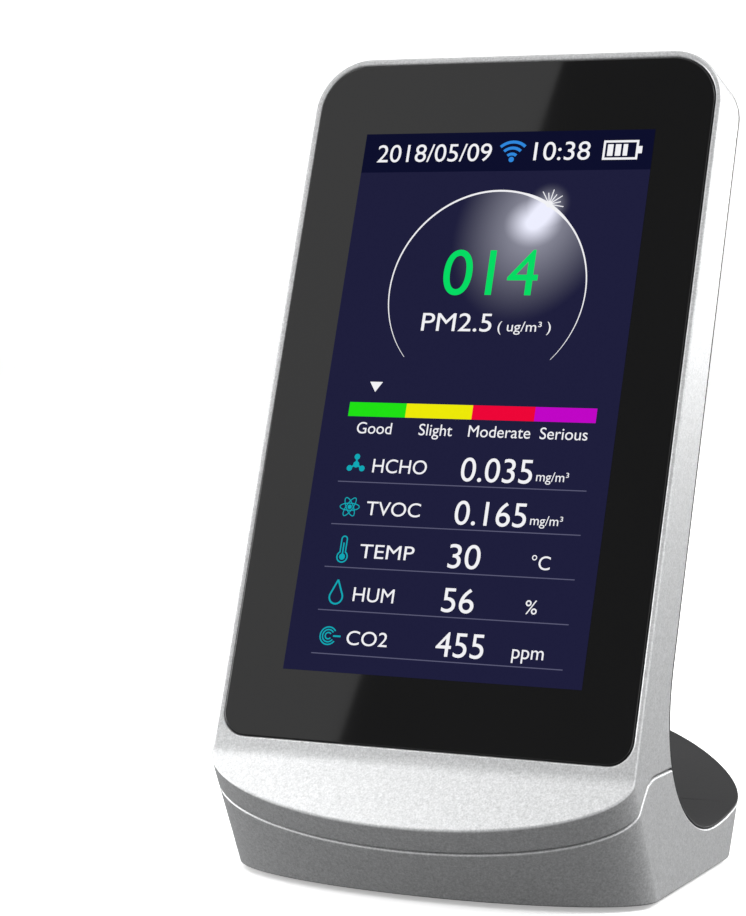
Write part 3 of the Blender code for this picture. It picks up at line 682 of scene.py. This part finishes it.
def arc_band(ink, centre, radius, width, start, stop, steps=24, taper=0.0):
    """Curved stroke between two angles, which may thin towards its ends."""
    def ring(i, side):
        t = i / steps
        angle = math.radians(start + (stop - start) * t)
        half = width / 2 * (1 - taper * abs(2 * t - 1) ** 2)
        reach = radius + side * half
        return centre[0] + reach * math.cos(angle), centre[1] + reach * math.sin(angle)
    for i in range(steps):
        draw(ink, (ring(i, -1), ring(i, 1), ring(i + 1, 1), ring(i + 1, -1)))


def dot(ink, centre, radius):
    """Filled disc."""
    arc_band(ink, centre, radius / 2, radius, 0, 360, 12)


def stroke(ink, start, stop, width):
    """Straight line with square ends."""
    start, stop = Vector(start), Vector(stop)
    side = (stop - start).normalized() * width / 2
    side = Vector((-side.y, side.x))
    draw(ink, (start + side, start - side, stop - side, stop + side))


def lettering(words):
    """Flat mesh of words in the built-in face, at size 1."""
    curve = bpy.data.curves.new("words", "FONT")
    curve.body = words
    curve.size = 1.0
    curve.fill_mode = "FRONT"
    text = bpy.data.objects.new("words", curve)
    bpy.context.scene.collection.objects.link(text)
    bpy.context.view_layer.update()
    graph = bpy.context.evaluated_depsgraph_get()
    mesh = bpy.data.meshes.new_from_object(text.evaluated_get(graph))
    bpy.data.objects.remove(text, do_unlink=True)
    return mesh


def write(ink, words, left, base, height, right=None, middle=None, level=2):
    """Set words from a left edge or about a middle, by cap height, then to a right edge if one is given."""
    mesh = lettering(words)
    xs = [vert.co.x for vert in mesh.vertices]
    low_x, length = min(xs), max(xs) - min(xs)
    tall = height / CAP_HEIGHT
    wide = tall if right is None else (right - left) / length
    if middle is not None:
        left = middle - wide * length / 2
    shape = bmesh.new()
    shape.from_mesh(mesh)
    bpy.data.meshes.remove(mesh)
    for vert in shape.verts:
        vert.co = (left + (vert.co.x - low_x) * wide, -INK_PROUD * level, base + vert.co.y * tall)
    bm = ink_meshes.setdefault(ink, bmesh.new())
    made = {vert: bm.verts.new(vert.co) for vert in shape.verts}
    for face in shape.faces:
        bm.faces.new([made[vert] for vert in face.verts])
    shape.free()


def radio_symbol(x, up):
    for reach in (1.2, 2.3, 3.4):
        arc_band("blue", (x, up), reach, 0.55, 48, 132, 12)
    dot("blue", (x, up + 0.2), 0.5)


def battery_symbol(left, right, low, high, line=0.4):
    """Outline with a nub and three bars of charge."""
    for edge in (low, high - line):
        bar("white", left, right, edge, edge + line)
    for edge in (left, right - line):
        bar("white", edge, edge + line, low + line, high - line)
    bar("white", right, right + 0.7, low + 1.1, high - 1.1)
    for i in range(3):
        start = left + 0.8 + 1.4 * i
        bar("white", start, min(start + 1.0, right - 1.9), low + 0.7, high - 0.7)


def status_strip():
    write("white", "2018/05/09", -24.1, STATUS_BASE, 3.2, right=-2.5)
    write("white", "10:38", 5.4, STATUS_BASE, 3.3, right=15.6)
    radio_symbol(1.35, STATUS_BASE)
    battery_symbol(17.9, 24.2, 102.3, 105.8)


def main_reading():
    """Open ring that thins to its ends, thick and rayed at its bright spot, round the reading."""
    arc_band("white", (RING_X, RING_UP), RING_R, 0.34, -42, 222, 120, taper=0.75)
    arc_band("white", (RING_X, RING_UP), RING_R, 0.62, 36, 84, 40, taper=1.0)
    arc_band("white", STAR, 0.3, 0.6, 0, 360, 16)
    for i in range(7):
        angle = math.radians(22 * i - 10)
        reach = 2.7 if i % 2 == 0 else 2.1
        tip = (STAR[0] + reach * math.cos(angle), STAR[1] + reach * math.sin(angle))
        stroke("white", STAR, tip, 0.17)
    write("reading", "014", -8.1, 78.1, 8.1, right=9.3, level=3)
    write("white", "PM2.5", -10.8, 71.6, 3.2, right=2.1)
    write("white", "( ug/m³ )", 3.3, 71.7, 1.75, right=12.9)


def level_bar():
    """Pointer over four coloured levels with their words."""
    draw("white", ((-18.8, 62.3), (-17.6, 60.5), (-16.4, 62.3)))
    splits = (BAR_LEFT, -11.3, 0.9, 12.2, BAR_RIGHT)
    middles = (-16.7, -5.3, 6.3, 17.8)
    for i, word in enumerate(("Good", "Slight", "Moderate", "Serious")):
        bar(word.lower(), splits[i], splits[i + 1], BAR_LOW, BAR_HIGH)
        write("white", word, 0, 53.1, 2.0, middle=middles[i])


def reading_rows():
    """Label, reading and unit of each quantity, over a fine line."""
    rows = (
        ("HCHO", "0.035", "mg/m³"), ("TVOC", "0.165", "mg/m³"), ("TEMP", "30", "°C"), ("HUM", "56", "%"),
        ("CO2", "455", "ppm"),
    )
    for i, (label, reading, unit) in enumerate(rows):
        mid = ROW_TOP - i * ROW_PITCH
        digits = len(reading) - 0.5 * reading.count(".")
        write("white", label, LABEL_X, mid - 1.3, 2.4, right=LABEL_X + len(label) * 2.5)
        write("white", reading, READING_X, mid - 2.2, 4.1, right=READING_X + digits * 2.85)
        unit_left = UNIT_X + (1.2 if len(unit) < 3 else 0)
        write("white", unit, unit_left, mid - 1.7, 1.6 if "/" in unit else 2.3)
        bar("line", BAR_LEFT, BAR_RIGHT, mid - 3.15, mid - 2.98)


def molecule(x, up):
    for angle in (90, 210, 330):
        turn = math.radians(angle)
        end = (x + 1.35 * math.cos(turn), up + 1.35 * math.sin(turn))
        stroke("teal", (x, up), end, 0.32)
        arc_band("teal", end, 0.28, 0.5, 0, 360, 12)
    arc_band("teal", (x, up), 0.3, 0.55, 0, 360, 12)


def atom(x, up):
    for turn in (0, 60, 120):
        cos, sin = math.cos(math.radians(turn)), math.sin(math.radians(turn))
        orbit = []
        for i in range(29):
            angle = 2 * math.pi * i / 28
            along, over = 1.8 * math.cos(angle), 0.62 * math.sin(angle)
            orbit.append((x + along * cos - over * sin, up + along * sin + over * cos))
        for near, far in zip(orbit, orbit[1:]):
            stroke("teal", near, far, 0.17)
    dot("teal", (x, up), 0.4)


def thermometer(x, up):
    bulb = (x, up - 1.25)
    arc_band("teal", bulb, 0.95, 0.25, -240, 60, 20)
    dot("teal", bulb, 0.56)
    for side in (-1, 1):
        bar("teal", x + side * 0.5 - 0.12, x + side * 0.5 + 0.12, up - 0.5, up + 1.8)
    arc_band("teal", (x, up + 1.8), 0.5, 0.24, 0, 180, 12)
    bar("teal", x - 0.13, x + 0.13, up - 1.2, up + 1.2)


def water_drop(x, up):
    arc_band("teal", (x, up - 0.75), 1.2, 0.3, -205, 25, 24)
    for side in (-1, 1):
        stroke("teal", (x + side * 1.09, up - 0.25), (x, up + 2.2), 0.3)


def gas_rings(x, up):
    for reach in (0.55, 1.05, 1.5):
        arc_band("teal", (x - 0.3, up), reach, 0.24, 35, 325, 24)
    stroke("teal", (x + 0.6, up), (x + 2.0, up), 0.3)


def display_pieces():
    """The picture and one piece for each ink, all facing out of the glass."""
    bar("picture", -PICTURE_HALF, PICTURE_HALF, PICTURE_LOW, PICTURE_HIGH, level=1)
    for ink, bm in ink_meshes.items():
        bm.normal_update()
        for face in bm.faces:
            if face.normal.y > 0:
                face.normal_flip()
        drawn = to_object(f"display_{ink}", bm, HEAD)
        finish_piece(drawn, "display", material=finishes["display"] if ink == "picture" else inks[ink])


status_strip()
main_reading()
level_bar()
reading_rows()
for place, icon in enumerate((molecule, atom, thermometer, water_drop, gas_rings)):
    icon(ICON_X, ROW_TOP - place * ROW_PITCH)
display_pieces()


# ---------------------------------------------------------------- screws, keys, feet and screens
class Tree:
    """A Geometry Nodes tree built from Python, with named inputs."""

    def __init__(self, name, sizes):
        self.group = bpy.data.node_groups.new(name, "GeometryNodeTree")
        self.face = self.group.interface
        self.face.new_socket("Geometry", in_out="INPUT", socket_type="NodeSocketGeometry")
        self.face.new_socket("Geometry", in_out="OUTPUT", socket_type="NodeSocketGeometry")
        self.ids = {}
        for label, kind in sizes.items():
            socket = self.face.new_socket(label, in_out="INPUT", socket_type=kind)
            self.ids[label] = socket.identifier
        self.start = self.group.nodes.new("NodeGroupInput")
        self.end = self.group.nodes.new("NodeGroupOutput")

    def size(self, label):
        return self.start.outputs[label]

    def add(self, kind, settings=None, inputs=None):
        node = self.group.nodes.new(kind)
        for name, value in (settings or {}).items():
            setattr(node, name, value)
        for key, value in (inputs or {}).items():
            if isinstance(value, bpy.types.NodeSocket):
                self.group.links.new(value, node.inputs[key])
            else:
                node.inputs[key].default_value = value
        return node

    def run(self, obj, values):
        """Set the inputs on an object's modifier and turn the result into its mesh."""
        step = obj.modifiers.new(self.group.name, "NODES")
        step.node_group = self.group
        for label, value in values.items():
            step[self.ids[label]] = value
        return settle(obj)


def screw_tree():
    """Round screw heads with a cross recess, one on each point, turned by a shared angle."""
    tree = Tree("cross_screws", {
        "Head Radius": "NodeSocketFloat", "Head Height": "NodeSocketFloat", "Recess": "NodeSocketFloat",
        "Lean": "NodeSocketVector", "Finish": "NodeSocketMaterial",
    })
    head = tree.add("GeometryNodeMeshCylinder", {"fill_type": "NGON"}, {
        "Vertices": 40, "Radius": tree.size("Head Radius"), "Depth": tree.size("Head Height"),
    })
    size = tree.add("ShaderNodeCombineXYZ", inputs={
        0: tree.size("Recess"), 1: tree.size("Recess"), 2: tree.size("Head Height"),
    })
    lift = tree.add("ShaderNodeCombineXYZ", inputs={2: tree.size("Head Height")})
    part_lift = tree.add("ShaderNodeVectorMath", {"operation": "MULTIPLY"}, {
        0: lift.outputs[0], 1: (0.0, 0.0, RECESS_LIFT),
    })
    cross = tree.add("GeometryNodeMeshBoolean", {"operation": "DIFFERENCE", "solver": "EXACT"}, {
        0: head.outputs["Mesh"],
    })
    for wide, thin in ((3.0, 0.7), (0.7, 3.0)):
        scale = tree.add("ShaderNodeVectorMath", {"operation": "MULTIPLY"}, {
            0: size.outputs[0], 1: (wide, thin, 1.0),
        })
        arm = tree.add("GeometryNodeMeshCube", inputs={"Size": scale.outputs[0]})
        raised = tree.add("GeometryNodeTransform", inputs={
            "Geometry": arm.outputs["Mesh"], "Translation": part_lift.outputs[0],
        })
        tree.group.links.new(raised.outputs["Geometry"], cross.inputs[1])
    spread = tree.add("GeometryNodeInstanceOnPoints", inputs={
        "Points": tree.size("Geometry"), "Instance": cross.outputs["Mesh"], "Rotation": tree.size("Lean"),
    })
    real = tree.add("GeometryNodeRealizeInstances", inputs={0: spread.outputs[0]})
    paint = tree.add("GeometryNodeSetMaterial", inputs={
        "Geometry": real.outputs[0], "Material": tree.size("Finish"),
    })
    tree.group.links.new(paint.outputs[0], tree.end.inputs[0])
    return tree


def points_object(name, points):
    """Object of loose points for a tree to work on."""
    mesh = bpy.data.meshes.new(name)
    mesh.from_pydata([tuple(p) for p in points], [], [])
    obj = bpy.data.objects.new(name, mesh)
    bpy.context.scene.collection.objects.link(obj)
    return obj


def add_screws(name, nodes, radius, height, turn, spots):
    """Cross-recess heads at the spots, in place of the CAD screws."""
    screws = points_object(name, spots)
    screw_heads.run(screws, {
        "Head Radius": radius * MM, "Head Height": height * MM, "Recess": radius * 0.42 * MM, "Lean": turn,
        "Finish": finishes["screw_steel"],
    })
    soften(screws, 0.07, 2, tidy=False)
    finish_piece(screws, "screw_steel", nodes=nodes)


def cover_screws():
    """The two screws in the back of the head."""
    nodes = [f"cover_screw_{side}" for side in SIDES]
    seat = COVER_SCREW_SEAT + COVER_SCREW_HEIGHT / 2
    spots = [HEAD @ (Vector((spot.x, seat, spot.z)) * MM) for spot in map(head_spot, nodes)]
    turn = (-math.radians(90 + LEAN), 0.0, 0.0)
    add_screws("cover_screws", nodes, COVER_SCREW_R, COVER_SCREW_HEIGHT, turn, spots)


def plate_screws():
    """The four screws in the floor plate."""
    nodes = [f"plate_screw_{end}_{side}" for end in ("front", "rear") for side in SIDES]
    spots = []
    for low, high in map(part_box, nodes):
        spots.append(((low.x + high.x) / 2, (low.y + high.y) / 2, low.z + PLATE_SCREW_HEIGHT / 2 * MM))
    add_screws("plate_screws", nodes, PLATE_SCREW_R, PLATE_SCREW_HEIGHT, (math.pi, 0.0, 0.0), spots)


screw_heads = screw_tree()
cover_screws()
plate_screws()


def key_cap(name):
    """Dished push key with its retaining flange. Gives the key's middle and its outer face."""
    spot = head_spot(f"{name}_button")
    front, back = spot.y - KEY_DEEP / 2, spot.y + KEY_DEEP / 2
    flange, edge = front + FLANGE_THICK, back - KEY_ROUND
    profile = [(0, front), (FLANGE_R, front), (FLANGE_R, flange), (KEY_R, flange), (KEY_R, edge)]
    for angle in (30, 60, 90):
        bend = math.radians(angle)
        profile.append((KEY_R - KEY_ROUND * (1 - math.cos(bend)), edge + KEY_ROUND * math.sin(bend)))
    profile += [(2.2, back - 0.06), (1.1, back - 0.13), (0, back - 0.15)]
    cap = turned(f"{name}_key", profile, (spot.x, spot.z))
    smooth(cap, 35)
    finish_piece(cap, "black_plastic", f"{name}_key", [f"{name}_button"])
    return spot, back


def key_mark(name, spot, back):
    """Generic raised mark: three bars, a broken ring with a bar, or a plain ring."""
    bm = bmesh.new()

    def piece(outline):
        face = bm.faces.new([bm.verts.new((spot.x + x, back - 0.17, spot.z + z)) for x, z in outline])
        raised = bmesh.ops.extrude_face_region(bm, geom=[face])["geom"]
        moved = [item for item in raised if isinstance(item, bmesh.types.BMVert)]
        bmesh.ops.translate(bm, vec=(0, 0.15, 0), verts=moved)

    def ring(radius, width, start, stop, steps):
        inner, outer = [], []
        for i in range(steps + 1):
            angle = math.radians(start + (stop - start) * i / steps)
            inner.append(((radius - width) * math.cos(angle), (radius - width) * math.sin(angle)))
            outer.append((radius * math.cos(angle), radius * math.sin(angle)))
        piece(inner + outer[::-1])

    if name == "menu":
        for z in (-0.8, 0.0, 0.8):
            piece(((-1.1, z - 0.14), (1.1, z - 0.14), (1.1, z + 0.14), (-1.1, z + 0.14)))
    elif name == "power":
        ring(1.25, 0.26, 125, 415, 28)
        piece(((-0.14, 0.3), (0.14, 0.3), (0.14, 1.6), (-0.14, 1.6)))
    else:
        ring(1.2, 0.26, 0, 180, 16)
        ring(1.2, 0.26, 180, 360, 16)
    bmesh.ops.recalc_face_normals(bm, faces=bm.faces)
    mark = to_object(f"{name}_mark", bm, HEAD)
    finish_piece(mark, "black_plastic", f"{name}_key", material=mark_paint)


mark_paint = moulded("mark_paint", (0.42, 0.43, 0.44), 0.5)
for name in KEYS:
    key_mark(name, *key_cap(name))


def foot_pad(node):
    """Rubber foot with a moulded groove and a dimple in its sole."""
    low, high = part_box(node)
    radius, thick = (high.x - low.x) / 2 / MM, (high.z - low.z) / MM
    dimple = [(0, 0.25), (radius * 0.3, 0.25), (radius * 0.36, 0.0)]
    groove = [(radius * 0.52, 0.0), (radius * 0.56, 0.2), (radius * 0.62, 0.2), (radius * 0.66, 0.0)]
    rim = [(radius - 0.3, 0.0), (radius - 0.08, 0.1), (radius, 0.35), (radius, thick), (0, thick)]
    place = Matrix.Translation(((low.x + high.x) / 2, (low.y + high.y) / 2, low.z))
    upright = Matrix.Rotation(math.radians(90), 4, "X")
    foot = turned(node + "_pad", dimple + groove + rim, (0, 0), place @ upright)
    smooth(foot, 40)
    finish_piece(foot, "foot_rubber", nodes=[node])


for end in ("front", "rear"):
    for side in SIDES:
        foot_pad(f"foot_{end}_{side}")


def screen_tree():
    """Fine dust screen: crossing bars spread over a grid of points."""
    tree = Tree("dust_screen", {
        "Width": "NodeSocketFloat", "Height": "NodeSocketFloat", "Pitch": "NodeSocketFloat",
        "Bar": "NodeSocketFloat", "Finish": "NodeSocketMaterial",
    })
    joined = tree.add("GeometryNodeJoinGeometry")
    for long, across in (("Width", "Height"), ("Height", "Width")):
        count = tree.add("ShaderNodeMath", {"operation": "DIVIDE"}, {
            0: tree.size(across), 1: tree.size("Pitch"),
        })
        half = tree.add("ShaderNodeMath", {"operation": "MULTIPLY"}, {0: tree.size(across), 1: -0.5})
        order = (2, 0) if long == "Width" else (0, 2)
        start = tree.add("ShaderNodeCombineXYZ", inputs={order[0]: half.outputs[0]})
        step = tree.add("ShaderNodeCombineXYZ", inputs={order[0]: tree.size("Pitch")})
        line = tree.add("GeometryNodeMeshLine", {"mode": "OFFSET"}, {
            "Count": count.outputs[0], "Start Location": start.outputs[0], "Offset": step.outputs[0],
        })
        shape = tree.add("ShaderNodeCombineXYZ", inputs={
            order[1]: tree.size(long), 1: tree.size("Bar"), order[0]: tree.size("Bar"),
        })
        wire = tree.add("GeometryNodeMeshCube", inputs={"Size": shape.outputs[0]})
        spread = tree.add("GeometryNodeInstanceOnPoints", inputs={
            "Points": line.outputs["Mesh"], "Instance": wire.outputs["Mesh"],
        })
        tree.group.links.new(spread.outputs[0], joined.inputs[0])
    real = tree.add("GeometryNodeRealizeInstances", inputs={0: joined.outputs[0]})
    paint = tree.add("GeometryNodeSetMaterial", inputs={
        "Geometry": real.outputs[0], "Material": tree.size("Finish"),
    })
    tree.group.links.new(paint.outputs[0], tree.end.inputs[0])
    return tree


def dust_screen():
    """Woven screen behind the slits of the back."""
    screen = points_object("back_dust_screen", [(0, 0, 0)])
    screen_tree().run(screen, {
        "Width": SCREEN_WIDTH * MM, "Height": SCREEN_HEIGHT * MM, "Pitch": SCREEN_PITCH * MM,
        "Bar": SCREEN_BAR * MM, "Finish": finishes["tray_steel"],
    })
    screen.data.transform(HEAD @ Matrix.Translation(Vector(SCREEN_PLACE) * MM))
    finish_piece(screen, "tray_steel")


dust_screen()

# ---------------------------------------------------------------- carried-over CAD nodes
for part in frame["record"]["subparts"]:
    node = frame["nodes"][part["node"]]
    for place in node.material_slots:
        place.material = finishes[part["material_slot"]]

# ---------------------------------------------------------------- studio
GLASS_FOOT = Vector((0, GLASS_Y, GLASS_Z)) * MM  # middle of the glass's lower edge
SKY, SWEEP_BACK, SWEEP_R = 1.0, 1.6, 0.9
CAMERA_TURN, CAMERA_TIP, CAMERA_LENS = 25.4, 4.38, 110.38
CAMERA_PLACE = Vector((0.1872, -0.4115, 0.0822))


def sky():
    """Even white light from all round."""
    world = bpy.data.worlds.new("studio")
    bpy.context.scene.world = world
    world.use_nodes = True
    background = world.node_tree.nodes["Background"]
    background.inputs["Color"].default_value = (1.0, 1.0, 1.0, 1.0)
    background.inputs["Strength"].default_value = SKY


def studio_floor():
    """Pale sweep that curves up behind the object, and gives back little light from below."""
    line = [(-3.0, -0.0001), (SWEEP_BACK, -0.0001)]
    for angle in range(6, 91, 6):
        bend = math.radians(angle)
        line.append((SWEEP_BACK + SWEEP_R * math.sin(bend), SWEEP_R * (1 - math.cos(bend))))
    line.append((SWEEP_BACK + SWEEP_R, 3.5))
    bm = bmesh.new()
    left, right = [[bm.verts.new((x, y, z)) for y, z in line] for x in (-3.5, 3.5)]
    for i in range(len(line) - 1):
        bm.faces.new((left[i], right[i], right[i + 1], left[i + 1]))
    mesh = bpy.data.meshes.new("floor")
    bm.to_mesh(mesh)
    bm.free()
    floor = bpy.data.objects.new("floor", mesh)
    bpy.context.scene.collection.objects.link(floor)
    for polygon in mesh.polygons:
        polygon.use_smooth = True
    pale = Finish("pale_floor", (0.93, 0.93, 0.93), 0.9, Specular_IOR_Level=0.0)
    seen = pale.add("ShaderNodeLightPath", out="Is Camera Ray")
    pale.set("Base Color", pale.blend(seen, (0.07, 0.07, 0.072), (0.93, 0.93, 0.93)))
    pale.set("Emission Color", pale.blend(seen, (0.0, 0.0, 0.0), (0.36, 0.36, 0.36)))
    pale.set("Emission Strength", 1.0)
    mesh.materials.append(pale.material)


def card(name, corners, brightness):
    """Flat reflection card with an even brightness."""
    bm = bmesh.new()
    bm.faces.new([bm.verts.new(GLASS_FOOT + Vector(corner)) for corner in corners])
    mesh = bpy.data.meshes.new(name)
    bm.to_mesh(mesh)
    bm.free()
    board = bpy.data.objects.new(name, mesh)
    bpy.context.scene.collection.objects.link(board)
    grey = Finish(name, (0.0, 0.0, 0.0), 1.0, Specular_IOR_Level=0.0)
    grey.set("Emission Color", (brightness, brightness, brightness, 1.0))
    grey.set("Emission Strength", 1.0)
    mesh.materials.append(grey.material)


def softbox(name, place, power, size, aim=(0, 0.02, 0.05), spread=180.0):
    """Square light that the camera doesn't see, turned to its aim."""
    light = bpy.data.lights.new(name, "AREA")
    light.spread = math.radians(spread)
    light.energy, light.size = power, size
    lamp = bpy.data.objects.new(name, light)
    lamp.location = place
    lamp.rotation_euler = (Vector(aim) - Vector(place)).to_track_quat("-Z", "Y").to_euler()
    lamp.visible_camera = False
    bpy.context.scene.collection.objects.link(lamp)


def viewpoint():
    """Long-lens camera, turned to the right of the display and a little above the object."""
    turn, tip = math.radians(CAMERA_TURN), math.radians(CAMERA_TIP)
    ahead = Vector((-math.sin(turn) * math.cos(tip), math.cos(turn) * math.cos(tip), -math.sin(tip)))
    camera = bpy.data.objects.new("camera", bpy.data.cameras.new("camera"))
    camera.data.lens, camera.data.sensor_width = CAMERA_LENS, 36.0
    camera.location = GLASS_FOOT + CAMERA_PLACE
    camera.rotation_euler = ahead.to_track_quat("-Z", "Y").to_euler()
    camera.data.clip_start = 0.01
    bpy.context.scene.collection.objects.link(camera)
    bpy.context.scene.camera = camera


sky()
studio_floor()
card_corners = ((-0.60, -1.07, 1.27), (-0.76, -1.36, 0.50), (0.25, -1.36, 0.50), (0.25, -1.07, 1.27))
card("dark_card", card_corners, 0.2)
softbox("key", (-0.42, -0.20, 0.62), 0.0175, 0.16, (-0.06, -0.055, 0.02), 20.0)
softbox("fill", (0.55, 0.12, 0.52), 4.6, 0.3, (0.04, 0.0, 0.14))
softbox("left_low", (-0.60, -0.22, 0.12), 3.2, 0.3)
softbox("right_low", (0.42, -0.46, 0.14), 0.5, 0.3)
softbox("rear", (0.42, 0.90, 0.26), 4.0, 0.4, (0.0, 0.03, 0.09))
viewpoint()
bpy.context.scene.view_settings.view_transform = "Standard"
